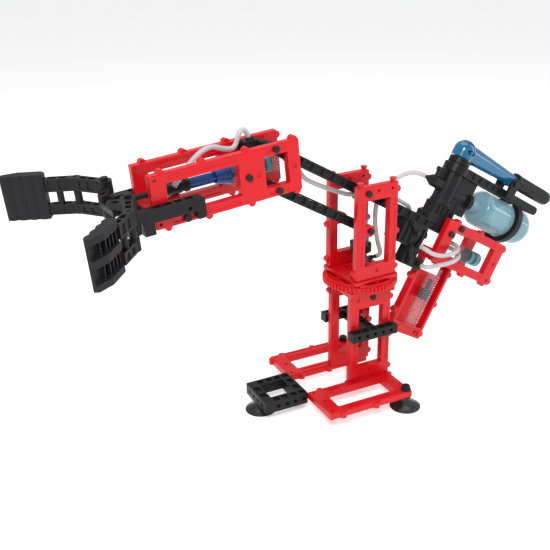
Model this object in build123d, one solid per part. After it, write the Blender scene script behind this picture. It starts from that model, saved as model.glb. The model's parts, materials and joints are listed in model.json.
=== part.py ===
from build123d import *
import os
from math import sin, cos, tan, radians, degrees, pi

os.makedirs("parts", exist_ok=True)

# ---------------------------------------------------------------- driving dimensions (mm, degrees)
PANEL_T = 8.0            # thickness of the red frame panels
RAIL = 10.0              # width of the panel's long rails
END_BAR = 15.0           # width of the panel's end bars
PANEL_W = 50.0
SHORT_L = 100.0
LONG_L = 150.0
PEG_R = 3.5              # round connector nubs on the panel edges
BASE_TOP = 20.0
BASE_BOTTOM = BASE_TOP - PANEL_T
CUP_R = 16.5
TOWER_TOP = 120.0
GEAR_R = 40.0
GEAR_TEETH = 56
PLATE_TOP = 140.0
YAW = 3.5                # the turret at rest, turned about the vertical axis
BETA = 30.0              # slope of the two lift beams, down towards the rear
TAU = 5.0                # slope of the forearm, nose down
LINK_L = 118.0           # pivot to pivot along a lift beam
PIVOT = (-12.5, 232.6)   # upper tower pivot, x and z
PIVOT_GAP = 40.0         # distance between upper and lower pivots
AXLE_R = 2.0
BORE_R = 2.05
HOSE_R = 2.0
WRIST_U, WRIST_Y = -22.0, 29.0
FAR_OPEN, NEAR_OPEN = 60.0, 70.0   # opening of the two fingers at rest
FINGER_BEND = 24.0
SHIFT = (37.5245, 25.2935, 0.0)  # moves the origin to the bottom centre of the overall box

B, TU = radians(BETA), radians(TAU)
FU = (PIVOT[0] - LINK_L * cos(B), PIVOT[1] + LINK_L * sin(B))
F0 = (FU[0] - 125 * cos(TU) + 45 * sin(TU), FU[1] - 125 * sin(TU) - 45 * cos(TU))
LOW = (PIVOT[0] + PIVOT_GAP * sin(TU), PIVOT[1] - PIVOT_GAP * cos(TU))

GROUND = Pos(*SHIFT)
TURRET = Pos(*SHIFT) * Rot(0, 0, YAW)
LIFT = TURRET * Plane(origin=(PIVOT[0], 0, PIVOT[1]), x_dir=(cos(B), 0, -sin(B)), z_dir=(sin(B), 0, cos(B))).location
LOWER = TURRET * Plane(origin=(LOW[0], 0, LOW[1]), x_dir=(cos(B), 0, -sin(B)), z_dir=(sin(B), 0, cos(B))).location
FORE = TURRET * Plane(origin=(F0[0], 0, F0[1]), x_dir=(cos(TU), 0, sin(TU)), z_dir=(-sin(TU), 0, cos(TU))).location

NODES = {}


def put(name, shape, where=GROUND):
    NODES[name] = where * shape


def block(x0, x1, y0, y1, z0, z1):
    return Pos((x0 + x1) / 2, (y0 + y1) / 2, (z0 + z1) / 2) * Box(x1 - x0, y1 - y0, z1 - z0)


def rod(a, b, r, ri=0.0, r2=None):
    a, b = Vector(*a), Vector(*b)
    d = b - a
    where = Plane(origin=a + d * 0.5, z_dir=d).location
    c = where * (Cylinder(r, d.length) if r2 is None else Cone(r, r2, d.length))
    if ri:
        c -= where * Cylinder(ri, d.length + 2)
    return c


def yrod(x, z, y0, y1, r, ri=0.0):
    return rod((x, y0, z), (x, y1, z), r, ri)


def panel(L, W, y0, windows, top=(), bottom=(), left=(), right=(), holes=(), dimples=(), sockets=()):
    """Flat frame: length along x, width along z, thickness along y from y0."""
    p = block(0, L, y0, y0 + PANEL_T, 0, W)
    p = fillet(p.edges().filter_by(Axis.X), 1.5)
    p = fillet(p.edges().filter_by(Axis.Y), 1.0) if p.edges().filter_by(Axis.Y) else p
    adds = []
    for u in top:
        adds.append(yrod(u, W - 0.2, y0 + 0.8, y0 + PANEL_T - 0.8, PEG_R))
    for u in bottom:
        adds.append(yrod(u, 0.2, y0 + 0.8, y0 + PANEL_T - 0.8, PEG_R))
    for v in left:
        adds.append(yrod(0.2, v, y0 + 0.8, y0 + PANEL_T - 0.8, PEG_R))
    for v in right:
        adds.append(yrod(L - 0.2, v, y0 + 0.8, y0 + PANEL_T - 0.8, PEG_R))
    if adds:
        p = p + adds
    cuts = []
    for u0, u1, v0, v1 in windows:
        cuts.append(block(u0, u1, y0 - 1, y0 + PANEL_T + 1, v0, v1))
    # shallow channels along both rails, on both faces
    for u0, u1, v0, v1 in windows:
        for v in (v0 / 2, W - (W - v1) / 2):
            for ys in ((y0 - 1, y0 + 0.6), (y0 + PANEL_T - 0.6, y0 + PANEL_T + 1)):
                cuts.append(block(u0 + 2, u1 - 2, ys[0], ys[1], v - 1.6, v + 1.6))
    for u, v, r in holes:
        cuts.append(yrod(u, v, y0 - 1, y0 + PANEL_T + 1, r))
    for u, v in dimples:
        for ys in ((y0 - 1, y0 + 1.2), (y0 + PANEL_T - 1.2, y0 + PANEL_T + 1)):
            cuts.append(block(u - 2, u + 2, ys[0], ys[1], v - 2, v + 2))
    for u, v in sockets:
        cuts.append(yrod(u, v, y0 - 1, y0 + PANEL_T + 1, 1.6))
    return p - cuts


def beam(x0, x1, y0, z0, w=10.0, h=10.0, pitch=12.0, faces="yz", dep=2.0, ends=4.0, bores=(), bore_r=BORE_R, skip=4.5):
    """Ribbed bar along x, with pockets between ribs and bores along y."""
    b = block(x0, x1, y0, y0 + w, z0, z0 + h)
    if ends:
        b = fillet(b.edges().filter_by(Axis.Y), ends)
    n = int((x1 - x0 - 6) // pitch)
    start = x0 + ((x1 - x0) - n * pitch) / 2
    cuts = []
    for i in range(n):
        a, c = start + i * pitch + 1.3, start + (i + 1) * pitch - 1.3
        hit = any(a - skip < x < c + skip for x in bores)
        if "z" in faces:
            cuts.append(block(a, c, y0 + 1.8, y0 + w - 1.8, z0 + h - dep, z0 + h + 1))
            cuts.append(block(a, c, y0 + 1.8, y0 + w - 1.8, z0 - 1, z0 + dep))
        if "y" in faces and not hit:
            cuts.append(block(a, c, y0 - 1, y0 + dep, z0 + 1.8, z0 + h - 1.8))
            cuts.append(block(a, c, y0 + w - dep, y0 + w + 1, z0 + 1.8, z0 + h - 1.8))
    for x in bores:
        cuts.append(yrod(x, z0 + h / 2, y0 - 1, y0 + w + 1, bore_r))
    return b - cuts


def tube(points, radii, r=HOSE_R):
    """Hose along straight runs joined by tangent arcs."""
    path = FilletPolyline(*[Vector(*p) for p in points], radius=list(radii))
    start = Plane(origin=path @ 0, z_dir=path % 0)
    t = sweep(start * Circle(r), path=path)
    print("hose", "length", round(path.length, 1), "radii", [round(x, 1) for x in radii], "volume share",
          round(t.volume / (pi * r * r * path.length), 4))
    return t


def arc_radii(points, share=0.45):
    """Each arc as large as its two runs allow."""
    out = []
    for a, b, c in zip(points, points[1:], points[2:]):
        p, q = Vector(*b) - Vector(*a), Vector(*c) - Vector(*b)
        turn = p.get_angle(q)
        out.append(share * min(p.length, q.length) / tan(radians(max(turn, 1.0)) / 2))
    return out


def flat(part):
    """A panel laid on its face: width along +y, thickness downwards."""
    return Rot(-90, 0, 0) * part


def upright(part):
    """A panel on end: length along +z, width along -x."""
    return Rot(0, -90, 0) * part


# ---------------------------------------------------------------- base
base_windows = [(END_BAR, SHORT_L - END_BAR, RAIL, PANEL_W - RAIL)]
cup_hole = (95, 5, 2.02)
put("base_frame_near", Pos(-75, -70, 0) * flat(panel(SHORT_L, PANEL_W, -BASE_TOP, base_windows,
    top=(15, 50), right=(45,), bottom=(15, 55), holes=(cup_hole,), sockets=((5, 5), (5, 45), (95, 45)), dimples=((8, 25), (92, 25)))))
put("base_frame_far", Pos(-75, 20, 0) * flat(panel(SHORT_L, PANEL_W, -BASE_TOP, base_windows,
    top=(15, 55, 95), left=(45,), bottom=(15, 50), holes=((95, 45, 2.02),), sockets=((5, 5), (5, 45), (95, 5)), dimples=((8, 25), (92, 25)))))

sq = block(-125, -75, -22, 28, 8, 20)
sq = fillet(sq.edges().filter_by(Axis.Z), 1.5)
cuts = [block(-114, -86, -11, 17, 7, 21)]
for i in range(4):
    c = -115 + 10 * i + 5 - 0.0
    for y in (-16.5, 22.5):
        cuts.append(block(c - 3.6, c + 3.6, y - 3.4, y + 3.4, 17.5, 21))
for i in range(2):
    c = 3 - 7 + 14 * i
    for x in (-119.5, -80.5):
        cuts.append(block(x - 3.4, x + 3.4, c - 4.4, c + 4.4, 17.5, 21))
for i in range(4):
    c = -115 + 10 * i + 5
    cuts.append(rod((c, -23, 14), (c, -19, 14), 2.2))
    cuts.append(rod((c, 25, 14), (c, 29, 14), 2.2))
for i in range(4):
    c = -12 + 10 * i
    cuts.append(rod((-126, c, 14), (-121, c, 14), 2.2))
put("base_square", sq - cuts)

CUPS = ((20.0, -65.0, BASE_BOTTOM), (20.0, 65.0, BASE_BOTTOM), (-119.5, 3.0, 8.0))


def cup(top):
    k = top
    with BuildPart() as p:
        with BuildSketch(Plane.XZ):
            with BuildLine():
                Polyline((0, 2.6), (9.0, 2.2), (CUP_R - 1.6, 0.0), (CUP_R, 0.0), (CUP_R - 0.1, 0.8), (13.6, 2.6), (9.8, 4.6), (6.8, 6.6),
                         (5.6, 7.4), (5.6, k), (0, k), (0, 2.6))
            make_face()
        revolve(axis=Axis.Z)
    return p.part


put("suction_cup_near", Pos(CUPS[0][0], CUPS[0][1], 0) * cup(BASE_BOTTOM))
put("suction_cup_far", Pos(CUPS[1][0], CUPS[1][1], 0) * cup(BASE_BOTTOM))
put("suction_cup_front", Pos(CUPS[2][0], CUPS[2][1], 0) * cup(8.0))


def knob():
    k = rod((0, 0, 20), (0, 0, 25.5), 4.5)
    k = fillet(k.edges().group_by(Axis.Z)[-1], 1.2)
    k = k + rod((0, 0, 20), (0, 0, 21.2), 5.4) + rod((0, 0, 12), (0, 0, 20), 2.0)
    return k - [Rot(0, 0, a) * block(3.9, 6, -0.7, 0.7, 21.2, 27) for a in range(0, 360, 36)]


put("cup_knobs", Pos(20, -65, 0) * knob() + Pos(20, 65, 0) * knob())

# ---------------------------------------------------------------- lower tower
for side, y0, ys in (("near", -24.0, 1), ("far", 16.0, 1)):
    f = panel(SHORT_L, PANEL_W, y0, [(15, 85, 10, 40)], bottom=(8, 47, 92), top=() if side == "near" else (92,),
              holes=((96, 23, 2.02), (50, 5, 1.6)), dimples=((95.5, 41.5), (8, 25)))
    put(f"lower_frame_{side}", Pos(25, 0, 20) * upright(f))
hb = []
for s in (-1, 1):
    y0 = -34.0 if s < 0 else 24.0
    b = beam(-28, 28, y0, 72.0, pitch=10.0, faces="z", ends=0, dep=2.2)
    b -= [rod((x, y0 - 1, 77), (x, y0 + 11, 77), 2.1) for x in (-20, -10, 0, 10, 20)]
    hb.append(b)
put("brace_beam_near", hb[0])
put("brace_beam_far", hb[1])
cb = block(-5, 5, -24, 24, 72, 82)
cb -= [block(-3.2, 3.2, y - 3.6, y + 3.6, 79.8, 83) for y in (-18, -9, 0, 9, 18)] + [block(-3.2, 3.2, y - 3.6, y + 3.6, 71, 74.2) for y in (-18, -9, 0, 9, 18)]
put("brace_cross_beam", cb)
plug = []
for s in (-1, 1):
    a, b = (-24.6, -15.6) if s < 0 else (15.6, 24.6)
    plug.append(yrod(2, 116, a, b, 2.0) + yrod(2, 116, (-25.4 if s < 0 else 24.0), (-24.0 if s < 0 else 25.4), 3.2))
put("tower_plugs", plug[0] + plug[1])
bp = block(-27, 27, -27, 27, TOWER_TOP, 126) + rod((0, 0, 126), (0, 0, 127.8), 14) + rod((0, 0, 126), (0, 0, 134), 6.0)
bp += [yrod(x, 119.0, y - 3, y + 3, 0.01) for x, y in ()]
bp -= [block(x - 5, x + 5, y - 5, y + 5, 123.5, 127) for x, y in ((-19, -19), (19, -19), (-19, 19), (19, 19))]
put("bearing_plate", bp)

# ---------------------------------------------------------------- turntable and upper tower
pts = []
for i in range(GEAR_TEETH):
    a0 = 2 * pi * i / GEAR_TEETH
    st = 2 * pi / GEAR_TEETH
    for f, r in ((0.0, GEAR_R - 2.4), (0.18, GEAR_R), (0.5, GEAR_R), (0.68, GEAR_R - 2.4)):
        pts.append((r * cos(a0 + f * st), r * sin(a0 + f * st)))
gear = extrude(Pos(0, 0, 128) * make_face(Polyline(*pts, close=True)), 6.0)
gear += rod((0, 0, 134), (0, 0, 136), GEAR_R - 3.4)
gear -= [rod((0, 0, 134.6), (0, 0, 137), 35.2, 0), rod((0, 0, 127), (0, 0, 137), 6.05)]
gear += rod((0, 0, 134.6), (0, 0, 136), 12.0, 6.05)
gear += [Rot(0, 0, a) * block(11.0, 35.6, -1.6, 1.6, 134.5, 136) for a in range(0, 360, 45)]
gear -= [Rot(0, 0, a + 22.5) * rod((25, 0, 127), (25, 0, 137), 3.4) for a in range(0, 360, 45)]
gear -= [rod((0, 0, 127), (0, 0, 129.4), 36.0, 16.0)]
put("turntable_gear", gear, TURRET)
tp = block(-27, 27, -31, 31, 136, PLATE_TOP)
tp = fillet(tp.edges().filter_by(Axis.Z), 2.0)
tp -= [block(-12, -2, -16, 16, 137.6, 141), block(16.5, 23.5, -16, 16, 137.6, 141)]
tp -= [rod((0, 0, 135), (0, 0, 137.0), 6.5)]
put("turret_plate", tp, TURRET)

wl = 25 - LOW[0]           # window coordinates of the lower pivot on an upright panel
wu = 25 - PIVOT[0]
for side, y0 in (("near", -29.0), ("far", 21.0)):
    f = panel(SHORT_L, PANEL_W, y0, [(15, 85, 10, 40)], bottom=(8, 47, 92) if side == "near" else (8, 47, 92), top=(8,) if side == "near" else (8, 47),
              holes=(), dimples=((8, 25),), sockets=((94, 8), (94, 25)))
    zl, zu = LOW[1] - 140, PIVOT[1] - 140
    f += [yrod(zl, wl, y0, y0 + PANEL_T, 6.0), block(zl - 6.0, zl + 6.0, y0, y0 + PANEL_T, wl, 41)]
    f -= [yrod(zl, wl, y0 - 1, y0 + 9, 2.02), yrod(zu, wu, y0 - 1, y0 + 9, 2.02)]
    # round connector nubs standing on the top end
    f += [rod((99.8, y0 + 4, v), (102.6, y0 + 4, v), 2.6) + rod((102.6, y0 + 4, v), (104.0, y0 + 4, v), 3.6) for v in (5, 45)]
    put(f"upper_frame_{side}", Pos(25, 0, 140) * upright(f), TURRET)

LC = (5.0, 6.0)            # lift cylinder axis
barrel = rod((*LC, 142.0), (*LC, 212.0), 9.5, 8.2) + rod((*LC, 140.0), (*LC, 142.0), 9.5)
barrel += rod((*LC, 210.0), (*LC, 212.0), 9.5, 3.0)
put("lift_cylinder_barrel", barrel, TURRET)
ring = rod((*LC, 158.0), (*LC, 166.0), 11.2, 9.5)
ring += block(LC[0] - 4, LC[0] + 4, LC[1] + 10.6, 21.0, 158, 166)
ring -= rod((*LC, 157.0), (*LC, 167.0), 9.52)
put("lift_cylinder_clamp", ring, TURRET)
port = rod((14.3, 6, 147), (20, 6, 147), 2.6, 0) + rod((20, 6, 147), (24.5, 6, 147), 1.9)
port -= rod((*LC, 139), (*LC, 213), 9.52)
put("lift_cylinder_port", port, TURRET)


def axle(x, z, y0, y1, parts):
    a = yrod(x, z, y0, y1, AXLE_R)
    for b0, b1, r in parts:
        a += yrod(x, z, b0, b1, r)
    return a


put("upper_tower_axle", axle(PIVOT[0], PIVOT[1], -30.4, 30.4, ((-31.4, -29.0, 3.3), (29.0, 31.4, 3.3), (-20.9, -15.25, 4.0), (-4.75, 20.9, 3.4))), TURRET)
put("lower_tower_axle", axle(LOW[0], LOW[1], -30.4, 30.4, ((-31.4, -29.0, 3.3), (29.0, 31.4, 3.3), (-20.9, -15.25, 4.0), (-4.75, 20.9, 3.4))), TURRET)

# lift rod: piston, rod and slotted eye around the lift pin
QS = 20.2                  # lift pin along the upper beam
QX, QZ = PIVOT[0] + QS * cos(B), PIVOT[1] - QS * sin(B)
lr = rod((*LC, 168.0), (*LC, 180.0), 8.1) + rod((*LC, 180.0), (*LC, QZ - 5), 2.5)
eye = block(QX - 10.5, QX + 5.5, 2.5, 9.5, QZ - 6.5, QZ + 6.5)
eye = fillet(eye.edges().filter_by(Axis.Y), 3.0)
eye -= [block(QX - 7.5, QX + 2.2, 1, 11, QZ - 2.9, QZ + 2.9), yrod(QX - 7.5, QZ, 1, 11, 2.9), yrod(QX + 2.2, QZ, 1, 11, 2.9)]
lr += eye
lr -= [rod((*LC, 171), (*LC, 173), 9, 7.2), rod((*LC, 175.6), (*LC, 177.6), 9, 7.2)]
put("lift_piston", lr, TURRET)

# ---------------------------------------------------------------- lift arm: upper beam and rear console (s, y, n)
ub = beam(-LINK_L - 5, 150, -15, -5, bores=(-LINK_L, 0.0, 134.0, 145.0), pitch=14.0)
ub -= yrod(QS, 0, -16, -4, 1.5)
put("upper_lift_beam", ub, LIFT)
put("lift_pin", yrod(QS, 0, -16.0, 10.6, 1.5) + yrod(QS, 0, -17.2, -15.0, 2.8), LIFT)

rear_windows = [(15, 85, 10, 40)]
RS = 124.0
put("rear_frame_near", Pos(RS, 0, -35) * panel(SHORT_L, PANEL_W, -24, rear_windows, top=(15, 55), bottom=(15, 55, 92), right=(5, 45),
    holes=((10, 35, 2.02), (21, 45, 2.02)), sockets=((94, 5),), dimples=((92, 25),)), LIFT)
put("rear_frame_far", Pos(RS - 4, 0, -35) * panel(SHORT_L, PANEL_W, 16, rear_windows, top=(15, 55, 92), bottom=(15, 55), right=(45,), left=(45,),
    holes=((14, 35, 2.02), (25, 45, 2.02)), sockets=((94, 5),), dimples=((92, 25),)), LIFT)
rp = []
for s, n in ((134.0, 0.0),):
    rp.append(yrod(s, n, -25.6, 24.8, 2.0) + yrod(s, n, -26.2, -24.0, 3.3) + yrod(s, n, -16.0, -15.0, 3.6) + yrod(s, n, -5.0, 16.0, 3.6))
for s, n in ((145.0, 10.0),):
    rp.append(yrod(s, n, -25.6, 24.8, 2.0) + yrod(s, n, -26.2, -24.0, 3.3) + yrod(s, n, -16.0, 16.0, 3.2))
put("rear_pins", rp[0] + rp[1], LIFT)

# tray of the tilted hand cylinder, open towards -y
G0, G1, GN0, GN1 = 119.0, 169.0, -122.0, -22.0
tray = block(G0, G1, -16, -6, GN0, GN1)
tray = fillet(tray.edges().filter_by(Axis.Z), 1.2)
tray += [yrod(G0 + 0.2, n, -15.2, -6.8, PEG_R) for n in (-58, -100)] + [yrod(G1 - 0.2, n, -15.2, -6.8, PEG_R) for n in (-42, -79, -116)]
tray -= [block(G0 + 4, G1 - 4, -17, -8.4, GN0 + 12, GN1 - 6), block(G0 + 9, G1 - 9, -9, -5, GN1 - 26, GN1 - 12)]
tray -= [block(G0 + 5, G1 - 5, -17, -14.6, GN0 + 3, GN0 + 9.5)]
tray -= [yrod(s, GN0 + 6, -17, -5, 1.8) for s in (G0 + 10, G1 - 10)]
put("hand_cylinder_tray", tray, LIFT)
GC = (145.5, -15.7)        # hand cylinder axis (s, y)
gb = rod((*GC, -110.0), (*GC, -40.0), 7.2, 6.0) + rod((*GC, -110), (*GC, -107.5), 7.2)
put("hand_cylinder_barrel", gb, LIFT)
gp = rod((*GC, -78), (*GC, -66), 5.9) - [rod((*GC, -75.5), (*GC, -73.5), 7, 5.0), rod((*GC, -70.5), (*GC, -68.5), 7, 5.0)]
gp += rod((*GC, -66), (*GC, -54), 2.6)
put("hand_cylinder_plunger", gp, LIFT)

# rear cylinder between the two rear frames
RC = (6.0, -13.5)          # y and n of its axis
rb = rod((129, *RC), (224, *RC), 9.6, 8.2) + rod((221.5, *RC), (224, *RC), 9.6)
rb += rod((129, *RC), (131.5, *RC), 9.6, 3.0)
put("rear_cylinder_barrel", rb, LIFT)
rpz = rod((202, *RC), (220, *RC), 8.1) - [rod((204.5, *RC), (207, *RC), 9, 7.2), rod((215, *RC), (217.5, *RC), 9, 7.2)]
put("rear_cylinder_piston", rpz, LIFT)
rn = rod((124.0, *RC), (129, *RC), 3.4) + rod((119, *RC), (124, *RC), 1.9)
put("rear_cylinder_port", rn, LIFT)

# valve block under the upper beam
vb = block(70, 104, -20, 4, -31, -5)
vb = chamfer(vb.edges().filter_by(Axis.Y), 1.6)
vb -= [block(73, 78, -21, -18, -28, -8), block(81, 86, -21, -18, -28, -8), block(95.5, 100.5, -21, -18, -28, -8)]
vb += [rod((103.9, y, -12), (108, y, -12), 3.2) for y in (-14.5, -2.0)]
put("valve_block", vb, LIFT)
vl = block(88, 118, -20, -7, -50, -38)
vl = chamfer(vl.edges().filter_by(Axis.Y), 0.8)
vl += block(88, 107, -18, -7, -38.2, -31)
put("valve_manifold", vl, LIFT)
vn = rod((99, -20, -26), (99, -22.6, -26), 3.3) + rod((99, -22.6, -26), (99, -25.6, -26), 2.0)
put("valve_nozzle_upper", vn, LIFT)
vn2 = rod((112, -20.0, -44), (112, -22.6, -44), 3.3) + rod((112, -22.6, -44), (112, -25.6, -44), 2.0)
put("valve_nozzle_lower", vn2, LIFT)


def valve_lever():
    v = yrod(0, 0, -2.8, -0.15, 4.4) + block(0, 15, -2.8, -0.9, -2.2, 2.2) + yrod(15, 0, -2.8, -0.9, 2.9)
    v += yrod(15, 0, -5.8, -2.6, 2.2)
    v -= yrod(0, 0, -4, 1, BORE_R)
    return v


VA, VB = (90.5, -14.0), (97.0, -44.0)
put("valve_pivots", yrod(*VA, -23.4, -20.0, 2.0) + yrod(*VA, -24.2, -22.95, 3.0) + yrod(*VB, -23.4, -20.0, 2.0) + yrod(*VB, -24.2, -22.95, 3.0), LIFT)
put("valve_lever_upper", Pos(VA[0], -20, VA[1]) * Rot(0, -150, 0) * valve_lever(), LIFT)
put("valve_lever_lower", Pos(VB[0], -20, VB[1]) * Rot(0, -120, 0) * valve_lever(), LIFT)

# pump
PS, PY = 116.0, -5.0
br = block(100, 133, -15, 5, 5, 12)
br = fillet(br.edges().filter_by(Axis.Y), 0.8)
br += block(104, 128, -13, 3, 11.5, 25)
br -= [block(107, 112, -14, -11.4, 13.5, 23.5), block(114.5, 119.5, -14, -11.4, 13.5, 23.5), block(122, 126.5, -14, -11.4, 13.5, 23.5)]
put("pump_bracket", br, LIFT)
pb = rod((PS, PY, 25), (PS, PY, 72), 10.5) + rod((PS, PY, 72), (PS, PY, 78), 12.0) + rod((PS, PY, 25), (PS, PY, 29), 12.2)
pb -= rod((PS, PY, 33), (PS, PY, 79), 8.4)
pb += [Rot(0, 0, 0) * Pos(PS, PY, 0) * Rot(0, 0, a) * block(10.2, 11.3, -0.8, 0.8, 29, 72) for a in range(0, 360, 45)]
put("pump_barrel", pb, LIFT)
port = rod((106.0, PY, 44), (92, PY, 44), 6.6) + rod((92, PY, 44), (84, PY, 44), 6.6, 0, 2.6) + rod((84, PY, 44), (78.5, PY, 44), 2.0)
port += rod((97, PY, 50), (97, PY, 57), 4.2) + rod((97, PY, 56), (97, PY, 60), 5.4)
port -= Pos(PS, PY, 50) * Cylinder(10.52, 80)
port -= [Pos(PS, PY, 0) * Rot(0, 0, 180) * block(10.1, 11.4, -0.9, 0.9, 28, 73)]
put("pump_check_valve", port, LIFT)

# pump bar with its collar, fulcrum ears and tank ring
bar = rod((PS, PY, 61.5), (PS, PY, 70.5), 14.2) + block(127, 256, PY - 5, PY + 5, 62, 72)
bar = bar + yrod(256, 67, PY - 5, PY + 5, 5.0)
bar -= [rod((PS, PY, 60), (PS, PY, 71.8), 11.35), block(134, 250, PY - 3.2, PY + 3.2, 61, 64.5)]
bar -= [block(a, a + 9, PY - 6, PY - 3.4, 64, 70) for a in range(134, 190, 12)] + [block(a, a + 9, PY + 3.4, PY + 6, 64, 70) for a in range(134, 190, 12)]
LV = (200.0, 82.0)         # lever fulcrum (s, n)
for y0, y1 in ((PY - 12.0, PY - 8.4), (PY + 8.4, PY + 12.0)):
    bar += block(LV[0] - 6, LV[0] + 6, y0, y1, 66, LV[1]) + yrod(LV[0], LV[1], y0, y1, 6.0)
bar += block(LV[0] - 6, LV[0] + 6, PY - 12, PY + 12, 64.5, 70.5)
bar -= yrod(LV[0], LV[1], PY - 14, PY + 14, 2.02)
put("pump_bar", bar, LIFT)
put("lever_pin", yrod(*LV, PY - 12.6, PY + 12.6, 2.0) + yrod(*LV, PY - 14.0, PY - 12.0, 3.4) + yrod(*LV, PY + 12.0, PY + 14.0, 3.4), LIFT)
TY, TN, TR = -2.0, 40.6, 20.6
tank = rod((172, 0, 0), (256, 0, 0), TR)
tank = fillet(tank.edges().group_by(Axis.X)[-1], 12.0)
tank = fillet(tank.edges().group_by(Axis.X)[0], 7.0)
tank += rod((158, 0, 0), (174, 0, 0), 8.6)
inner = rod((173.6, 0, 0), (254.4, 0, 0), TR - 1.6)
inner = fillet(inner.edges().group_by(Axis.X)[-1], 10.4)
inner = fillet(inner.edges().group_by(Axis.X)[0], 5.6)
tank -= inner + rod((157, 0, 0), (175, 0, 0), 2.2)
put("air_tank", Pos(0, TY, TN) * tank, LIFT)
tr = rod((218, TY, TN), (225, TY, TN), 26.5, TR + 0.02) - block(180, 250, PY - 12.1, PY + 12.1, 62, 80)
tr -= block(217, 226, PY - 5, PY + 5, 60, 80)
put("tank_ring", tr, LIFT)
tn = rod((158.0, TY, TN), (152, TY, TN), 8.2) + rod((152, TY, TN), (134, TY, TN), 5.0) + rod((134, TY, TN), (129, TY, TN), 3.0)
tn = rod((158.0, TY, TN), (152, TY, TN), 9.4) + rod((152, TY, TN), (129, TY, TN), 5.4)
tn += rod((141, TY, TN), (141, TY, 15.0), 4.6) + block(128.5, 157, TY - 3.5, TY + 3.5, 22, 61.5)
tn += block(134, 150, -13, 9, 13.4, 16.5)
tn -= Pos(PS, PY, 50) * Cylinder(12.3, 80)
put("tank_neck", tn, LIFT)

# pump lever and rod
pr = rod((PS, PY, 36), (PS, PY, 82), 7.2) + rod((PS, PY, 82), (PS, PY, 94), 7.2)
pr = fillet(pr.edges().group_by(Axis.Z)[-1], 4.0)
PIN_N = 87.0
pr += yrod(PS, PIN_N, PY - 12.4, PY + 12.4, 1.8)
pr += rod((PS, PY, 34.5), (PS, PY, 38), 8.3)
put("pump_rod", pr, LIFT)
la = Pos(PS, PY, PIN_N) * Sphere(12.2) + rod((PS, PY, 79.3), (PS, PY, PIN_N), 12.2)
la += rod((PS, PY, PIN_N), (206.7, PY, 85.6), 10.6, 0, 6.4)
la += yrod(LV[0], LV[1], PY - 8.0, PY + 8.0, 5.0)
la -= block(96, 134, PY - 20, PY + 20, 60, 79.3)
la -= rod((PS, PY, 70), (PS, PY, 96.2), 9.0)
for y0, y1 in ((PY - 13, PY - 7), (PY + 7, PY + 13)):
    la -= [block(PS - 3.0, PS + 3.4, y0, y1, PIN_N - 2.3, PIN_N + 2.3), yrod(PS - 3.0, PIN_N, y0, y1, 2.3), yrod(PS + 3.4, PIN_N, y0, y1, 2.3)]
la -= yrod(LV[0], LV[1], PY - 12, PY + 12, BORE_R)
put("pump_lever", la, LIFT)
gr = rod((207, PY, 86.5), (272, PY, 86.5), 8.1)
gr = fillet(gr.edges().group_by(Axis.X)[-1], 4.8)
gr += rod((207, PY, 86.5), (212, PY, 86.5), 9.0)
gr += [rod((a, PY, 86.5), (a + 3.6, PY, 86.5), 8.4) for a in range(217, 263, 6)]
put("pump_grip", gr, LIFT)

# ---------------------------------------------------------------- lower lift beam
lb = beam(-LINK_L - 5, 10, -15, -5, bores=(-LINK_L, 0.0), pitch=14.0)
put("lower_lift_beam", lb, LOWER)

# ---------------------------------------------------------------- forearm (u, y, h)
fore_windows = [(15, 86, 10, 40), (112, 137, 10, 40)]
for side, y0 in (("near", -24.0), ("far", 16.0)):
    f = panel(LONG_L, PANEL_W, y0, fore_windows, top=(12, 52, 96, 145) if side == "near" else (12, 52, 96), bottom=(12, 52, 96, 145),
              right=(45,) if side == "far" else (), holes=((125, 45, 2.02), (125, 5, 2.02), (95, 25, 2.02), (30, 5, 2.02)),
              dimples=((105, 25), (143.5, 25)), sockets=((5, 5), (5, 45)))
    put(f"forearm_frame_{side}", f, FORE)
put("forearm_upper_axle", axle(125, 45, -25.4, 25.4, ((-26.0, -24.0, 3.3), (24.0, 26.0, 3.3), (-4.75, 15.9, 3.4))), FORE)
put("forearm_lower_axle", axle(125, 5, -25.4, 25.4, ((-26.0, -24.0, 3.3), (24.0, 26.0, 3.3), (-4.75, 15.9, 3.4))), FORE)
pl = yrod(95, 25, -25.0, -17.0, 2.0) + yrod(95, 25, -25.8, -24.0, 3.3)
pl2 = yrod(95, 25, 17.0, 25.0, 2.0) + yrod(95, 25, 24.0, 25.8, 3.3)
put("forearm_plugs", pl + pl2, FORE)

GY, GH = 5.5, 24.0
gbarrel = rod((90, GY, GH), (149, GY, GH), 10.0, 8.8) + rod((147.4, GY, GH), (149, GY, GH), 10.0)
gbarrel += block(88, 91, GY - 9.5, GY + 10.4, GH - 12, GH + 12)
gbarrel -= rod((87, GY, GH), (92, GY, GH), 8.8)
put("gripper_barrel", gbarrel, FORE)
cap = rod((74, GY, GH), (88, GY, GH), 6.4, 0, 10.4) - rod((73, GY, GH), (89, GY, GH), 5.6)
put("gripper_barrel_guide", cap, FORE)
gport = rod((149, GY, GH), (154, GY, GH), 3.2)
put("gripper_port_rear", gport, FORE)
elbow = block(106, 120, GY - 5.5, GY + 5.5, 36.0, 50.5) + rod((116, GY, 47.3), (114, GY, 53.0), 3.4)
elbow += block(106, 120, GY - 1.5, 16.0, 41, 46) + block(108, 118, GY - 3, GY + 3, 33.9, 36.2)
elbow += rod((115.0, GY, 50.2), (114.5, GY, 51.6), 4.2)
elbow -= rod((80, GY, GH), (130, GY, GH), 10.02)
put("gripper_elbow_port", elbow, FORE)

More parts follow.
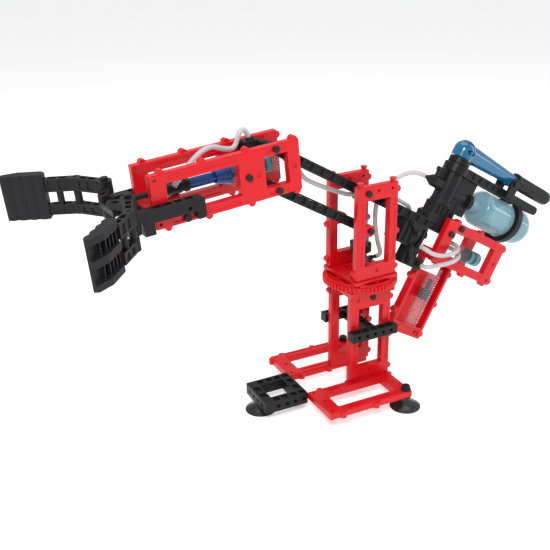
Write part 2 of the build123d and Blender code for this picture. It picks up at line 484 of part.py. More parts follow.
# yoke
for side, sy in (("near", -1), ("far", 1)):
    y0, y1 = (-34.0, -24.0) if sy < 0 else (24.0, 34.0)
    yb = block(-14.6, 45, y0, y1, 12, 24) + block(-14, -4, y0, y1, 1.5, 12.1) + block(37, 45, y0, y1, 4, 12.1)
    yb = fillet(yb.edges().filter_by(Axis.Y).group_by(Axis.X)[-1], 3.5)
    yb += block(-22, -14.4, y0, y1, 15.4, 24) + rod((WRIST_U, sy * WRIST_Y, 15.4), (WRIST_U, sy * WRIST_Y, 24), 5.0)
    yb -= [block(a, a + 7.4, y0 + 1.8, y1 - 1.8, 21.6, 25) for a in (-2, 8, 18, 28)]
    yb -= [rod((WRIST_U, sy * WRIST_Y, 10), (WRIST_U, sy * WRIST_Y, 26), 2.02)]
    yb -= yrod(30, 16.0, y0 - 1, y1 + 1, 1.9)
    yb -= [block(a, a + 7, (y0 - 1 if sy < 0 else y1 - 1.6), (y0 + 1.6 if sy < 0 else y1 + 1), 14.5, 21) for a in (4, 14)] if sy > 0 else []
    put(f"yoke_beam_{side}", yb, FORE)
cross = block(-14, -4, -24, 24, 8.0, 19.6)
cross -= [block(-12, -6, y - 3.4, y + 3.4, 17.0, 21) for y in (-18, -9, 0, 9, 18)] + [rod((-15, y, 12.5), (-3, y, 12.5), 2.0) for y in (-18, -9, 0, 9, 18)]
put("yoke_cross_beam", cross, FORE)
yp = yrod(30, 5, -25.8, -16.2, 2.0) + yrod(30, 5, -27.2, -24.0, 3.6) + yrod(30, 5, 16.2, 25.8, 2.0) + yrod(30, 5, 24.0, 27.2, 3.6)
put("yoke_pins", yp, FORE)
wp = []
for sy in (-1, 1):
    c = (WRIST_U, sy * WRIST_Y)
    wp.append(rod((*c, 3.6), (*c, 41.2), AXLE_R) + rod((*c, 1.6), (*c, 4.8), 3.6) + rod((*c, 40.2), (*c, 42.4), 3.4))
put("wrist_pins", wp[0] + wp[1], FORE)

# plunger: piston, cross-shaped shaft, rod end and crosshead
CLOSE = 29.0
CROSS_Y = 14.5
pz = rod((115, GY, GH), (131, GY, GH), 8.7) - [rod((117, GY, GH), (120, GY, GH), 9.5, 7.6), rod((126, GY, GH), (129, GY, GH), 9.5, 7.6)]
put("gripper_piston", pz, FORE)
shaft = block(47, 115, GY - 5.0, GY + 5.0, GH - 0.9, GH + 0.9) + block(47, 115, GY - 0.9, GY + 0.9, GH - 5.0, GH + 5.0) + rod((47, GY, GH), (115, GY, GH), 1.9)
put("gripper_plunger", shaft, FORE)
CU = WRIST_U - CROSS_Y * tan(radians(CLOSE))
ch = rod((20, GY, GH), (47, GY, GH), 5.4) + rod((43.5, GY, GH), (47, GY, GH), 6.4) + rod((36, GY, GH), (39, GY, GH), 6.2) + rod((CU, GY, GH), (20, GY, GH), 3.0)
ch += block(CU - 4, CU + 4, -18, 18, 21.0, 26.6)
ch += [rod((CU, sy * CROSS_Y, 26), (CU, sy * CROSS_Y, 34.5), 1.7) for sy in (-1, 1)]
ch = ch - [block(CU - 2.2, CU + 2.2, y - 3, y + 3, 25.0, 28) for y in (-8, -0.5)]
put("gripper_crosshead", ch, FORE)

# hose over the forearm, from the elbow port forward and down between the frames
h1 = [(114, GY, 53.0), (111, GY, 61.5), (104, GY - 1, 61), (97.5, GY - 2, 46), (86, GY - 3.5, 48.5), (73, GY - 5.5, 55), (60, GY - 8, 53), (48, GY - 10.5, 46.5),
      (37, GY - 12.5, 38), (28, GY - 13.5, 30)]
put("hose_gripper_front", tube(h1, arc_radii(h1)), FORE)


# ---------------------------------------------------------------- fingers, drawn straight along -x, then turned about the wrist
def finger(sy, open_deg):
    """sy: +1 far, -1 near. Hinge at the origin; the arm runs along -x, outward is +y*sy."""
    LA, LB, LP = 35.0, 28.0, 42.0
    w = 8.0
    parts_up, parts_lo = [], []
    cs = cos(radians(FINGER_BEND))
    sn = sin(radians(FINGER_BEND))
    bx, by = -LA, 0.0

    def seg_b(a0, a1, y0, y1, z0, z1):
        m = block(-a1, -a0, y0, y1, z0, z1)
        return Pos(bx, by, 0) * Rot(0, 0, FINGER_BEND * sy) * m

    def level(z0, z1, pocket):
        a = block(-LA, 0, -w / 2, w / 2, z0, z1) + rod((0, 0, z0), (0, 0, z1), 6.6) + rod((bx, 0, z0), (bx, 0, z1), 5.0)
        a += seg_b(0, LB + 0.5, -w / 2, w / 2, z0, z1)
        cuts = [rod((0, 0, z0 - 1), (0, 0, z1 + 1), BORE_R), rod((bx, 0, z0 - 1), (bx, 0, z1 + 1), 1.8)]
        for x in (-28.5, -18.5, -8.0 - 9.0 + 4.0):
            if x > -14:
                continue
            cuts.append(block(x - 0.2, x + 7.6, -2.4, 2.4, z1 - pocket, z1 + 1))
            cuts.append(block(x - 0.2, x + 7.6, -5, -2.9, z0 + 2, z1 - 2.0))
            cuts.append(block(x - 0.2, x + 7.6, 2.9, 5, z0 + 2, z1 - 2.0))
        for x in (8.0, 18.0):
            cuts.append(seg_b(x, x + 7.6, -2.4, 2.4, z1 - pocket, z1 + 1))
            cuts.append(seg_b(x, x + 7.6, -5, -2.9, z0 + 2, z1 - 2.0))
            cuts.append(seg_b(x, x + 7.6, 2.9, 5, z0 + 2, z1 - 2.0))
        return a - cuts

    up = level(27.2, 39.6, 3.0)
    lo = level(5.0, 15.0, 2.4)
    # inward lever with a slot, in line with the crosshead pin
    lever_dir = -sy * (90 + 0.0)
    rel = 0.0
    spacers = [rod((bx, 0, 15.0), (bx, 0, 27.2), 3.6), Pos(bx, by, 0) * Rot(0, 0, FINGER_BEND * sy) * rod((-17, 0, 15.0), (-17, 0, 27.2), 3.2)]
    # pad
    pad = seg_b(LB + 0.5, LB + LP, -7.0, 5.0, 2.0, 45.0) if sy > 0 else seg_b(LB + 0.5, LB + LP, -5.0, 7.0, 2.0, 45.0)
    pad = fillet(pad.edges().filter_by(Axis.Z), 2.0)
    inner = -7.0 * sy
    cuts = []
    for i in range(9):
        x = LB + 3.6 + i * 4.4
        cuts.append(Pos(bx, by, 0) * Rot(0, 0, FINGER_BEND * sy) * rod((-x, inner - 0.2 * sy, 3.2), (-x, inner - 0.2 * sy, 43.8), 1.5))
    for i in range(4):
        x = LB + 5.0 + i * 9.4
        y0, y1 = (-2.0, 6.0) if sy > 0 else (-6.0, 2.0)
        cuts.append(seg_b(x, x + 7.4, y0, y1, 4.5, 22.3))
        cuts.append(seg_b(x, x + 7.4, y0, y1, 24.7, 42.5))
    pad = pad - cuts
    turn = Pos(WRIST_U, sy * WRIST_Y, 0) * Rot(0, 0, -sy * open_deg)
    return turn * up, turn * lo, turn * (spacers[0] + spacers[1]), turn * pad


def lever(sy):
    """Slotted inward lever at rest, at the level of the upper arm's foot."""
    a = radians(90 + CLOSE)
    m = block(0, 20.5, -3.9, 3.9, 27.2, 33.0) + rod((20.5 - 0.0, 0, 27.2), (20.5, 0, 33.0), 3.9)
    m -= [block(13.2, 17.9, -2.3, 2.3, 26, 34), rod((13.2, 0, 26), (13.2, 0, 34), 2.3), rod((17.9, 0, 26), (17.9, 0, 34), 2.3)]
    return Pos(WRIST_U, sy * WRIST_Y, 0) * Rot(0, 0, -sy * degrees(a)) * m


for side, sy, op in (("far", 1, FAR_OPEN), ("near", -1, NEAR_OPEN)):
    up, lo, sp, pad = finger(sy, op)
    up = up + lever(sy)
    up -= rod((WRIST_U, sy * WRIST_Y, 26), (WRIST_U, sy * WRIST_Y, 41), BORE_R)
    put(f"finger_{side}_arms", up + lo + sp, FORE)
    put(f"finger_{side}_pad", pad, FORE)

# ---------------------------------------------------------------- hoses held on the lift arm
h2 = [(112, -25.6, -44), (112, -33, -44), (123, -38, -36), (141, -37, -27), (155, -30, -18), (159, -17, -13), (156, -4.4, -14)]
h3 = [(99, -25.6, -26), (99, -33, -26), (110, -37.5, -28), (128, -36, -24), (146, -33, -14), (155, -20, -7), (151, -5.2, -9)]
h4 = [(-70, 0.0, -12.0), (-46, 0.4, -13.2), (-22, 0.2, -11.4), (4, 0.0, -8.8)]
h5 = [(78.5, PY, 44), (70, PY, 44), (57, PY + 1, 39), (46, PY + 2, 28), (38, PY + 2.5, 17)]
h6 = [(26, -1.6, 11), (50, -1.8, 9.2), (74, 0, 8.8), (89, 5.5, 8), (97, 8.5, -3), (106, 6.0, -13.5), (118.95, 6.0, -13.5)]

put("hose_valve_loop_lower", tube(h2, arc_radii(h2)), LIFT)
put("hose_valve_loop_upper", tube(h3, arc_radii(h3)), LIFT)
put("hose_lift_arm", tube(h4, arc_radii(h4)), LIFT)
put("hose_pump", tube(h5, arc_radii(h5)), LIFT)
put("hose_supply", tube(h6, arc_radii(h6)), LIFT)
put("hose_forearm", rod((154, GY, GH), (160, GY, GH), HOSE_R), FORE)

# ---------------------------------------------------------------- fasteners and like pieces share a node
GROUPS = {
    "suction_cups": ("suction_cup_near", "suction_cup_far", "suction_cup_front"),
    "base_knobs": ("cup_knobs", "tower_plugs"),
    "tower_brace": ("brace_beam_near", "brace_beam_far", "brace_cross_beam"),
    "tower_axles": ("upper_tower_axle", "lower_tower_axle"),
    "lift_cylinder_fittings": ("lift_cylinder_clamp", "lift_cylinder_port"),
    "console_pins": ("lift_pin", "rear_pins", "lever_pin", "valve_pivots"),
    "hose_fittings": ("valve_nozzle_upper", "valve_nozzle_lower", "rear_cylinder_port"),
    "valve_block": ("valve_block", "valve_manifold"),
    "tank_fittings": ("tank_ring", "tank_neck"),
    "hoses_console": ("hose_pump", "hose_supply"),
    "hose_valve_loops": ("hose_valve_loop_lower", "hose_valve_loop_upper"),
    "forearm_pins": ("forearm_upper_axle", "forearm_lower_axle", "forearm_plugs", "yoke_pins"),
    "gripper_ports": ("gripper_port_rear", "gripper_elbow_port"),
    "gripper_yoke": ("yoke_beam_near", "yoke_beam_far", "yoke_cross_beam"),
}
FINAL = {}
used = set()
for group, members in GROUPS.items():
    FINAL[group] = [solid for m in members for solid in NODES[m].solids()]
    used.update(members)
for name, shape in NODES.items():
    if name not in used:
        FINAL[name] = list(shape.solids())

if __name__ == "__main__":
    for name, solids in FINAL.items():
        export_step(solids[0] if len(solids) == 1 else Compound(solids), f"parts/{name}.step")
    boxes = [s.bounding_box() for solids in FINAL.values() for s in solids]
    lo = [min(tuple(b.min)[i] for b in boxes) for i in range(3)]
    hi = [max(tuple(b.max)[i] for b in boxes) for i in range(3)]
    print("nodes", len(FINAL), "box", [round(x, 3) for x in lo], [round(x, 3) for x in hi],
          "centre", round((lo[0] + hi[0]) / 2, 3), round((lo[1] + hi[1]) / 2, 3))
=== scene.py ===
import bpy, json
import numpy as np
from math import sin, cos, radians, pi, tan
from mathutils import Vector, Matrix


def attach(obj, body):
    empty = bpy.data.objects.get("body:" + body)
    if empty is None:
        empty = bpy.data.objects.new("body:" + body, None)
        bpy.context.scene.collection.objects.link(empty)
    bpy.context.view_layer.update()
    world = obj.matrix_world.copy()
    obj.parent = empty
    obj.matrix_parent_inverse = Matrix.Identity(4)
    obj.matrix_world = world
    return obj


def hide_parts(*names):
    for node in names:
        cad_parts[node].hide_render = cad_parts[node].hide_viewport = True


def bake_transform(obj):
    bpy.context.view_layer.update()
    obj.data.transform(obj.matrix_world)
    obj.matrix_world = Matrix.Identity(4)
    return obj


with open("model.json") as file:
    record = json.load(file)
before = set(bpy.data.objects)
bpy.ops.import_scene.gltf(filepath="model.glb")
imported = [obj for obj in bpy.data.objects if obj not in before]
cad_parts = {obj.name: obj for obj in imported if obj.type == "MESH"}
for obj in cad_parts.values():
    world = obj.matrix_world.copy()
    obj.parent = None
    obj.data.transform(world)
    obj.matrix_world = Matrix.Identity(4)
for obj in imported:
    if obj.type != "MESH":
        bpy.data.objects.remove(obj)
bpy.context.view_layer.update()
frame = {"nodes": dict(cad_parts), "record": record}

scene = bpy.context.scene

# ------------------------------------------------------------------ shared frames, as in the CAD (mm)
SHIFT = (37.5245, 25.2935, 0.0)
YAW, B, TU = radians(3.5), radians(30.0), radians(5.0)
PIV = (-12.5, 232.6)
FU = (PIV[0] - 118.0 * cos(B), PIV[1] + 118.0 * sin(B))
F0 = (FU[0] - 125 * cos(TU) + 45 * sin(TU), FU[1] - 125 * sin(TU) - 45 * cos(TU))


def basis(x, y, z, o):
    m = Matrix.Identity(4)
    for i, a in enumerate((x, y, z)):
        for k in range(3):
            m[k][i] = a[k]
    for k in range(3):
        m[k][3] = o[k]
    return m


MM = Matrix.Scale(0.001, 4)
TURRET = MM @ Matrix.Translation(SHIFT) @ Matrix.Rotation(YAW, 4, "Z")
LIFT = TURRET @ basis((cos(B), 0, -sin(B)), (0, 1, 0), (sin(B), 0, cos(B)), (PIV[0], 0, PIV[1]))
FORE = TURRET @ basis((cos(TU), 0, sin(TU)), (0, 1, 0), (-sin(TU), 0, cos(TU)), (F0[0], 0, F0[1]))


def at(m, p):
    return m @ Vector(p)


# ------------------------------------------------------------------ camera
az, el, roll = radians(26.21), radians(23.0), radians(-1.06)
d = Vector((sin(az) * cos(el), cos(az) * cos(el), -sin(el)))
r = Vector((cos(az), -sin(az), 0.0))
u = r.cross(d)
r2 = r * cos(roll) + u * sin(roll)
u2 = -r * sin(roll) + u * cos(roll)
target = Vector((-35.8 - 75 + SHIFT[0], 50 - 70 + SHIFT[1], 142.79 + 20)) / 1000
eye = target - d * 0.81946
cam_data = bpy.data.cameras.new("camera")
cam_data.sensor_width = 36.0
cam_data.lens = 835.2 / 550.0 * 36.0
cam_data.clip_end = 50.0
cam = bpy.data.objects.new("camera", cam_data)
cam.matrix_world = basis(r2, u2, -d, eye)
scene.collection.objects.link(cam)
scene.camera = cam


# ------------------------------------------------------------------ materials
def nodes_of(name):
    m = bpy.data.materials.new(name)
    m.use_nodes = True
    nt = m.node_tree
    nt.nodes.clear()
    out = nt.nodes.new("ShaderNodeOutputMaterial")
    p = nt.nodes.new("ShaderNodeBsdfPrincipled")
    nt.links.new(p.outputs[0], out.inputs[0])
    return m, nt, p


def plastic(name, color, rough=0.3, spread=0.08, edge=1.25, tint=0.05, bump=0.02, grain=900.0, bevel=0.0007, ior=1.5, coat=0.0,
            alpha=1.0, trans=0.0, sss=0.0, spec=0.5, flow_scale=28.0):
    """Moulded plastic: faint flow marks in the colour, fine tool grain in the bump, a painted highlight that lightens
    the colour along the edges, and uneven gloss.
    """
    m, nt, p = nodes_of(name)
    N, L = nt.nodes.new, nt.links.new
    tc = N("ShaderNodeTexCoord")
    big = N("ShaderNodeTexNoise"); big.inputs["Scale"].default_value = flow_scale; big.inputs["Detail"].default_value = 4.0
    big.inputs["Distortion"].default_value = 0.6
    fine = N("ShaderNodeTexNoise"); fine.inputs["Scale"].default_value = grain; fine.inputs["Detail"].default_value = 3.0
    L(tc.outputs["Object"], big.inputs["Vector"]); L(tc.outputs["Object"], fine.inputs["Vector"])
    bv = N("ShaderNodeBevel"); bv.samples = 6; bv.inputs["Radius"].default_value = bevel
    geo = N("ShaderNodeNewGeometry")
    dot = N("ShaderNodeVectorMath"); dot.operation = "DOT_PRODUCT"
    L(bv.outputs[0], dot.inputs[0]); L(geo.outputs["Normal"], dot.inputs[1])
    mask = N("ShaderNodeMapRange"); mask.inputs[1].default_value = 0.80; mask.inputs[2].default_value = 0.995
    mask.inputs[3].default_value = 1.0; mask.inputs[4].default_value = 0.0
    L(dot.outputs["Value"], mask.inputs[0])
    dark = N("ShaderNodeMixRGB"); dark.blend_type = "MIX"
    c = Vector(color)
    dark.inputs[1].default_value = (*(c * (1 - tint)), 1); dark.inputs[2].default_value = (*(c * (1 + tint)), 1)
    L(big.outputs["Fac"], dark.inputs[0])
    # painted highlight: where the bevel normal turns away from the face normal, the colour is mixed towards a lighter
    # shade, as if light catches the edges
    edge_highlight = N("ShaderNodeMixRGB"); edge_highlight.blend_type = "MIX"
    w = [min(1.0, x * edge + 0.012 * (edge - 1) * 4) for x in color]
    edge_highlight.inputs[2].default_value = (*w, 1)
    L(dark.outputs[0], edge_highlight.inputs[1])
    half = N("ShaderNodeMath"); half.operation = "MULTIPLY"; half.inputs[1].default_value = 0.6
    L(mask.outputs[0], half.inputs[0]); L(half.outputs[0], edge_highlight.inputs[0])
    L(edge_highlight.outputs[0], p.inputs["Base Color"])
    rr = N("ShaderNodeMapRange"); rr.inputs[1].default_value = 0.3; rr.inputs[2].default_value = 0.7
    rr.inputs[3].default_value = max(0.02, rough - spread); rr.inputs[4].default_value = rough + spread
    L(big.outputs["Fac"], rr.inputs[0]); L(rr.outputs[0], p.inputs["Roughness"])
    bp = N("ShaderNodeBump"); bp.inputs["Strength"].default_value = bump; bp.inputs["Distance"].default_value = 0.0004
    L(fine.outputs["Fac"], bp.inputs["Height"]); L(bv.outputs[0], bp.inputs["Normal"])
    L(bp.outputs[0], p.inputs["Normal"])
    p.inputs["IOR"].default_value = ior
    p.inputs["Specular IOR Level"].default_value = spec
    p.inputs["Coat Weight"].default_value = coat
    p.inputs["Coat Roughness"].default_value = 0.08
    p.inputs["Alpha"].default_value = alpha
    p.inputs["Transmission Weight"].default_value = trans
    p.inputs["Subsurface Weight"].default_value = sss
    p.inputs["Subsurface Scale"].default_value = 0.004
    p.inputs["Subsurface Radius"].default_value = (1.0, 0.35, 0.3)
    return m


RED = plastic("red_plastic", (0.56, 0.003, 0.009), rough=0.30, spread=0.08, edge=1.30, tint=0.10, bump=0.03, coat=0.10, spec=0.26)
BLACK = plastic("black_plastic", (0.009, 0.009, 0.0102), rough=0.40, spread=0.10, edge=1.7, tint=0.2, bump=0.08, grain=1400.0, spec=0.2)
PINS = plastic("black_pins", (0.008, 0.008, 0.009), rough=0.45, spread=0.08, edge=1.5, tint=0.15, bump=0.08, grain=1600.0, spec=0.28)
PAD = plastic("pad_plastic", (0.010, 0.010, 0.012), rough=0.48, spread=0.08, edge=1.7, tint=0.2, bump=0.12, grain=1100.0, spec=0.2)
RUBBER = plastic("cup_rubber", (0.010, 0.013, 0.012), rough=0.28, spread=0.07, edge=1.5, tint=0.2, bump=0.03, grain=700.0, coat=0.15, spec=0.4)
DBLUE = plastic("dark_blue_plastic", (0.002, 0.050, 0.22), rough=0.28, spread=0.05, edge=1.6, tint=0.1, bump=0.03, coat=0.1, spec=0.35)
LBLUE = plastic("lever_blue", (0.002, 0.11, 0.235), rough=0.15, spread=0.05, edge=1.8, tint=0.35, bump=0.02, coat=0.35, spec=0.45, flow_scale=32.0)
TEAL = plastic("turquoise_seal", (0.0, 0.40, 0.50), rough=0.35, spread=0.06, edge=1.2, tint=0.08, bump=0.05, spec=0.3)
TANK = plastic("tank_blue", (0.17, 0.37, 0.46), rough=0.09, spread=0.03, edge=1.25, tint=0.12, bump=0.01, coat=0.4, alpha=0.55, bevel=0.0012)
CLEAR = plastic("clear_plastic", (0.62, 0.67, 0.72), rough=0.09, spread=0.03, edge=1.2, tint=0.04, bump=0.01, coat=0.0, alpha=0.07, spec=0.25)
HOSE = plastic("hose_milky", (0.53, 0.505, 0.53), rough=0.24, spread=0.06, edge=1.05, tint=0.06, bump=0.02, grain=500.0, alpha=0.82, sss=0.1, spec=0.45)
TICK = plastic("scale_white", (0.80, 0.76, 0.74), rough=0.5, spread=0.04, edge=1.0, tint=0.02, bump=0.02, spec=0.3)
PBLACK = plastic("piston_black", (0.012, 0.012, 0.015), rough=0.42, spread=0.06, edge=1.5, tint=0.1, bump=0.05, spec=0.3)

BY_SLOT = {"red_plastic": RED, "black_plastic": BLACK, "black_pins": PINS, "black_rubber": RUBBER, "pad_rubber": PAD,
           "clear_plastic": CLEAR, "piston_black": PBLACK, "dark_blue_plastic": DBLUE, "lever_blue": LBLUE, "tank_blue": TANK, "hose_clear": HOSE}
slot_of = {s["node"]: s["material_slot"] for s in frame["record"]["subparts"]}
for name, obj in frame["nodes"].items():
    obj.data.materials.clear()
    obj.data.materials.append(BY_SLOT[slot_of[name]])


# ------------------------------------------------------------------ mesh helpers
def new_mesh(name, verts, faces, material, smooth=True):
    me = bpy.data.meshes.new(name)
    me.from_pydata([tuple(v) for v in verts], [], faces)
    me.update()
    if smooth:
        for f in me.polygons:
            f.use_smooth = True
    me.materials.append(material)
    ob = bpy.data.objects.new(name, me)
    scene.collection.objects.link(ob)
    return ob


def centreline(points, res=14):
    """Smooth line with these control points, read from a NURBS spline of order 3."""
    cu = bpy.data.curves.new("line", "CURVE")
    cu.dimensions = "3D"
    sp = cu.splines.new("NURBS")
    sp.points.add(len(points) - 1)
    for q, p in zip(sp.points, points):
        q.co = (*p, 1.0)
    sp.order_u = 3
    sp.use_endpoint_u = True
    cu.resolution_u = res
    ob = bpy.data.objects.new("line", cu)
    scene.collection.objects.link(ob)
    bpy.context.view_layer.update()
    me = bpy.data.meshes.new_from_object(ob.evaluated_get(bpy.context.evaluated_depsgraph_get()))
    line = [v.co.copy() for v in me.vertices]
    bpy.data.objects.remove(ob); bpy.data.curves.remove(cu); bpy.data.meshes.remove(me)
    return line


def tube_mesh(name, line, radius, material, sides=20, bore=0.55):
    """Hose with a bore at both ends."""
    verts, faces = [], []
    n = len(line)
    up = Vector((0, 0, 1))
    t0 = (line[1] - line[0]).normalized()
    side = t0.cross(up)
    if side.length < 1e-4:
        side = t0.cross(Vector((0, 1, 0)))
    side.normalize()
    rings = []
    for i, p in enumerate(line):
        t = (line[min(i + 1, n - 1)] - line[max(i - 1, 0)]).normalized()
        side = (side - t * side.dot(t)).normalized()
        other = t.cross(side)
        rings.append((p, side.copy(), other))
    def ring(p, a, b, rad):
        k = len(verts)
        for j in range(sides):
            q = 2 * pi * j / sides
            verts.append(p + a * (cos(q) * rad) + b * (sin(q) * rad))
        return k
    ids = [ring(p, a, b, radius) for p, a, b in rings]
    t1 = (line[-1] - line[-2]).normalized()
    for k0, k1 in zip(ids, ids[1:]):
        for j in range(sides):
            faces.append((k0 + j, k0 + (j + 1) % sides, k1 + (j + 1) % sides, k1 + j))
    for (p, a, b), k, flip, tt in ((rings[0], ids[0], True, t0), (rings[-1], ids[-1], False, -t1)):
        k1 = ring(p, a, b, radius * bore)
        k2 = ring(p + tt * radius * 1.5, a, b, radius * bore)
        for ka, kb in ((k, k1), (k1, k2)):
            for j in range(sides):
                f = (ka + j, kb + j, kb + (j + 1) % sides, ka + (j + 1) % sides)
                faces.append(f if flip else f[::-1])
        cap = tuple(k2 + j for j in range(sides))
        faces.append(cap[::-1] if not flip else cap)
    ob = new_mesh(name, verts, faces, material)
    import bmesh
    bm = bmesh.new(); bm.from_mesh(ob.data); bmesh.ops.recalc_face_normals(bm, faces=bm.faces); bm.to_mesh(ob.data); bm.free()
    return ob


def revolve(name, m, profile, material, sides=48, axis="x", close=True):
    """Ring or turned piece: profile is (along, radius) pairs, closed; axis through m's origin along its x, y or z."""
    verts, faces = [], []
    n = len(profile)
    for j in range(sides):
        q = 2 * pi * j / sides
        for a, rad in profile:
            c, s = cos(q) * rad, sin(q) * rad
            p = {"x": (a, c, s), "y": (c, a, s), "z": (c, s, a)}[axis]
            verts.append(m @ Vector(p))
    for j in range(sides):
        k, l = j * n, ((j + 1) % sides) * n
        for i in range(n):
            i2 = (i + 1) % n
            faces.append((k + i, k + i2, l + i2, l + i))
    ob = new_mesh(name, verts, faces, material)
    import bmesh
    bm = bmesh.new(); bm.from_mesh(ob.data); bmesh.ops.recalc_face_normals(bm, faces=bm.faces); bm.to_mesh(ob.data); bm.free()
    ob.data.set_sharp_from_angle(angle=radians(40))
    return ob


def seal(name, m, a0, a1, r0, r1, body, axis="x", material=None):
    c = 0.35
    prof = [(a0, r0), (a0, r1 - c), (a0 + 0.25 * c, r1 - 0.25 * c), (a0 + c, r1), ((a0 + a1) / 2, r1 + 0.02), (a1 - c, r1), (a1 - 0.25 * c, r1 - 0.25 * c), (a1, r1 - c), (a1, r0)]
    ob = revolve(name, m, prof, material or TEAL, axis=axis)
    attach(ob, body)
    return ob


# ------------------------------------------------------------------ pistons' turquoise seals
GY, GH = 5.5, 24.0
G = FORE @ Matrix.Translation((0, GY, GH))
seal("gripper_seal_front", G, 115.6, 120.4, 7.65, 8.76, "gripper_slide")
seal("gripper_seal_rear", G, 125.6, 130.4, 7.65, 8.76, "gripper_slide")
R = LIFT @ Matrix.Translation((0, 6.0, -13.5))
seal("rear_seal_front", R, 203.6, 208.4, 7.25, 8.16, "rear_piston")
seal("rear_seal_rear", R, 213.6, 218.4, 7.25, 8.16, "rear_piston")
H = LIFT @ Matrix.Translation((145.5, -15.7, 0))
seal("hand_seal_lower", H, -75.4, -73.6, 5.05, 5.92, "hand_plunger", axis="z", material=PBLACK)
seal("hand_seal_upper", H, -70.4, -68.6, 5.05, 5.92, "hand_plunger", axis="z", material=PBLACK)
LC = TURRET @ Matrix.Translation((5.0, 6.0, 0))
seal("lift_seal_lower", LC, 171.1, 172.9, 7.25, 8.12, "lift_rod", axis="z")
seal("lift_seal_upper", LC, 175.7, 177.5, 7.25, 8.12, "lift_rod", axis="z")


# ------------------------------------------------------------------ jaw pads: fluted gripping face, three shelves and ribs behind
def jaw(name, side, sy, open_deg):
    m = FORE @ Matrix.Translation((-22.0, sy * 29.0, 0)) @ Matrix.Rotation(radians(-sy * open_deg), 4, "Z") @ Matrix.Translation((-35.0, 0, 0)) @ Matrix.Rotation(radians(24.0 * sy), 4, "Z")
    verts, faces = [], []

    def prism(profile, h0, h1):
        k, n = len(verts), len(profile)
        for h in (h0, h1):
            for a, y in profile:
                verts.append(m @ Vector((-a, sy * y, h)))
        faces.append(tuple(k + i for i in range(n)))
        faces.append(tuple(k + n + i for i in reversed(range(n))))
        for i in range(n):
            j = (i + 1) % n
            faces.append((k + i, k + j, k + n + j, k + n + i))

    wave = [(28.6 + 41.3 * i / 48, -5.3 - 1.6 * abs(sin(pi * 4 * i / 48)) ** 0.8) for i in range(49)]
    prism(wave + [(69.9, -2.8), (28.6, -2.8)], 2.0, 45.0)
    for h0, h1 in ((2.0, 7.6), (20.6, 27.0), (39.4, 45.0)):
        prism([(29.0, -3.2), (29.0, 1.5), (33.0, 4.9), (56.0, 4.9), (69.6, -0.6), (69.6, -3.2)], h0, h1)
    for a in (33.5, 39.5, 45.5, 51.5, 57.5):
        prism([(a - 0.7, -3.2), (a + 0.7, -3.2), (a + 0.7, 2.6 - max(0.0, a - 54) * 0.5), (a - 0.7, 2.6 - max(0.0, a - 54) * 0.5)], 2.4, 44.6)
    prism([(28.7, -3.2), (31.2, -3.2), (31.2, 3.0), (28.7, 2.0)], 2.4, 44.6)
    ob = new_mesh(name, verts, faces, PAD, smooth=False)
    import bmesh
    bm = bmesh.new(); bm.from_mesh(ob.data); bmesh.ops.recalc_face_normals(bm, faces=bm.faces); bm.to_mesh(ob.data); bm.free()
    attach(ob, "finger_" + side)
    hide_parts("finger_" + side + "_pad")
    return ob


jaw("jaw_far", "far", 1, 60.0)
jaw("jaw_near", "near", -1, 70.0)


# ------------------------------------------------------------------ plain scales on the cylinders: raised dashes only
def scale(name, m, radius, angle, start, stop, step, body, long_every=5, axis="z", width=14):
    verts, faces = [], []
    i = 0
    a = start
    while a <= stop:
        half = radians(width if i % long_every else 1.6 * width)
        n = 8
        base = len(verts)
        for k in range(n + 1):
            q = angle - half + 2 * half * k / n
            for rr in (radius - 0.02, radius + 0.10):
                for off in (-0.45, 0.45):
                    p = (cos(q) * rr, sin(q) * rr, a + off) if axis == "z" else (a + off, cos(q) * rr, sin(q) * rr)
                    verts.append(m @ Vector(p))
        for k in range(n):
            b0, b1 = base + 4 * k, base + 4 * (k + 1)
            faces += [(b0 + 2, b0 + 3, b1 + 3, b1 + 2), (b0, b1, b1 + 1, b0 + 1), (b0, b0 + 2, b1 + 2, b1), (b0 + 1, b1 + 1, b1 + 3, b0 + 3)]
        e = base + 4 * n
        faces += [(base, base + 1, base + 3, base + 2), (e, e + 2, e + 3, e + 1)]
        a += step
        i += 1
    ob = new_mesh(name, verts, faces, TICK, smooth=False)
    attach(ob, body)
    return ob


scale("hand_cylinder_scale", H, 7.2, radians(-72), -104.0, -46.0, 2.9, "lift_arm", width=9)
scale("lift_cylinder_scale", LC, 9.5, radians(-112), 150.0, 206.0, 2.8, "turret")


# ------------------------------------------------------------------ hoses
def hose(name, m, points, node, body, radius=2.45):
    line = centreline([at(m, p) for p in points])
    ob = tube_mesh(name, line, radius / 1000, HOSE)
    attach(ob, body)
    if node:
        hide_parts(node)
    return ob, line


PY = -5.0
h1 = [(114, GY, 53.0), (111, GY, 61.5), (104, GY - 1, 61), (97.5, GY - 2, 46), (86, GY - 3.5, 48.5), (73, GY - 5.5, 55), (60, GY - 8, 53), (48, GY - 10.5, 46.5),
      (37, GY - 12.5, 38), (28, GY - 13.5, 30)]
h2 = [(112, -25.6, -44), (112, -33, -44), (123, -38, -36), (141, -37, -27), (155, -30, -18), (159, -17, -13), (156, -4.4, -14)]
h3 = [(99, -25.6, -26), (99, -33, -26), (110, -37.5, -28), (128, -36, -24), (146, -33, -14), (155, -20, -7), (151, -5.2, -9)]
h5 = [(78.5, PY, 44), (70, PY, 44), (57, PY + 1, 39), (46, PY + 2, 28), (38, PY + 2.5, 17)]
h6 = [(26, -1.6, 11), (50, -1.8, 9.2), (74, 0, 8.8), (89, 5.5, 8), (97, 8.5, -3), (106, 6.0, -13.5), (118.95, 6.0, -13.5)]
hose("front_hose", FORE, h1, "hose_gripper_front", "forearm")
hose("valve_hose_lower", LIFT, h2, "hose_valve_loops", "lift_arm")
hose("valve_hose_upper", LIFT, h3, None, "lift_arm")

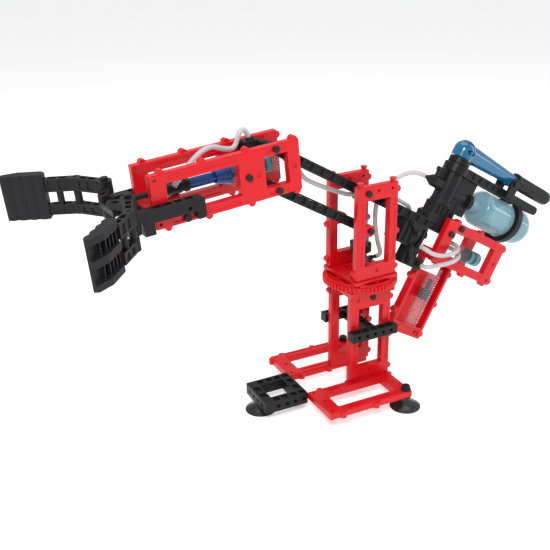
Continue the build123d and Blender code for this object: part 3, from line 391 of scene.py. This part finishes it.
# from the gripper cylinder to the lift arm, across the forearm's joint
pts = [at(FORE, (154.05, GY, GH)), at(FORE, (159.5, GY, GH)), at(FORE, (161.5, GY - 2, 13)), at(LIFT, (-60, 0.6, -12.6)), at(LIFT, (-46, 0.4, -13.2)), at(LIFT, (-22, 0.2, -11.4)),
       at(LIFT, (4, -0.6, -8.2)), at(LIFT, (16, -1.4, 2.0)), at(LIFT, (27, -1.7, 9.6)), at(LIFT, (50, -1.8, 9.2)), at(LIFT, (74, 0, 8.8)), at(LIFT, (89, 5.5, 8)), at(LIFT, (97, 8.5, -3)), at(LIFT, (106, 6.0, -13.5)), at(LIFT, (118.95, 6.0, -13.5))]
line = centreline(pts)
ob = tube_mesh("arm_hose", line, 0.00245, HOSE)
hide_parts("hose_lift_arm", "hose_forearm")
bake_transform(ob)

# from the pump down to the lift cylinder, across the shoulder
pts = [at(LIFT, p) for p in h5[:4]] + [at(LIFT, (39, -2.0, 17)), at(TURRET, (23.5, 1.0, 222)), at(TURRET, (20.5, 3.0, 206)), at(TURRET, (21.5, 5.0, 186)), at(TURRET, (26.5, 6.0, 164)),
       at(TURRET, (31.0, 6.0, 152)), at(TURRET, (30.0, 6.0, 147)), at(TURRET, (24.6, 6.0, 147))]
line = centreline(pts)
ob = tube_mesh("pump_hose", line, 0.00245, HOSE)
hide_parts("hoses_console")
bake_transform(ob)


# ------------------------------------------------------------------ floor, world and lights
floor_me = bpy.data.meshes.new("floor")
s = 14.0
floor_me.from_pydata([(-s, -s, 0), (s, -s, 0), (s, s, 0), (-s, s, 0)], [], [(0, 1, 2, 3)])
floor = bpy.data.objects.new("floor", floor_me)
fm, fnt, fp = nodes_of("pale_floor")
fp.inputs["Base Color"].default_value = (0.90, 0.90, 0.90, 1)
fp.inputs["Emission Color"].default_value = (1.0, 1.0, 1.0, 1)
fp.inputs["Emission Strength"].default_value = 0.36
fp.inputs["Specular IOR Level"].default_value = 0.1
fp.inputs["Roughness"].default_value = 0.7
floor_me.materials.append(fm)
floor.location = (0, 0, -0.0002)
scene.collection.objects.link(floor)

world = bpy.data.worlds.new("studio")
scene.world = world
world.use_nodes = True
bg = world.node_tree.nodes["Background"]
bg.inputs[0].default_value = (1.0, 1.0, 1.0, 1)
bg.inputs[1].default_value = 0.58


def area(name, loc, target_at, size, power, color=(1, 1, 1)):
    la = bpy.data.lights.new(name, "AREA")
    la.shape = "RECTANGLE"
    la.size, la.size_y = size
    la.energy = power
    la.color = color
    ob = bpy.data.objects.new(name, la)
    ob.location = loc
    ob.rotation_euler = (Vector(target_at) - Vector(loc)).to_track_quat("-Z", "Y").to_euler()
    scene.collection.objects.link(ob)
    return ob


mid = (0.0, 0.0, 0.15)
area("key", (-0.7, -0.9, 1.3), mid, (0.45, 0.45), 17)
area("top", (0.2, 0.3, 1.6), mid, (1.2, 1.0), 9)
area("right_strip", (1.3, -0.5, 0.7), mid, (0.25, 1.2), 4)
scene.view_settings.view_transform = "Standard"
scene.view_settings.exposure = 0.0
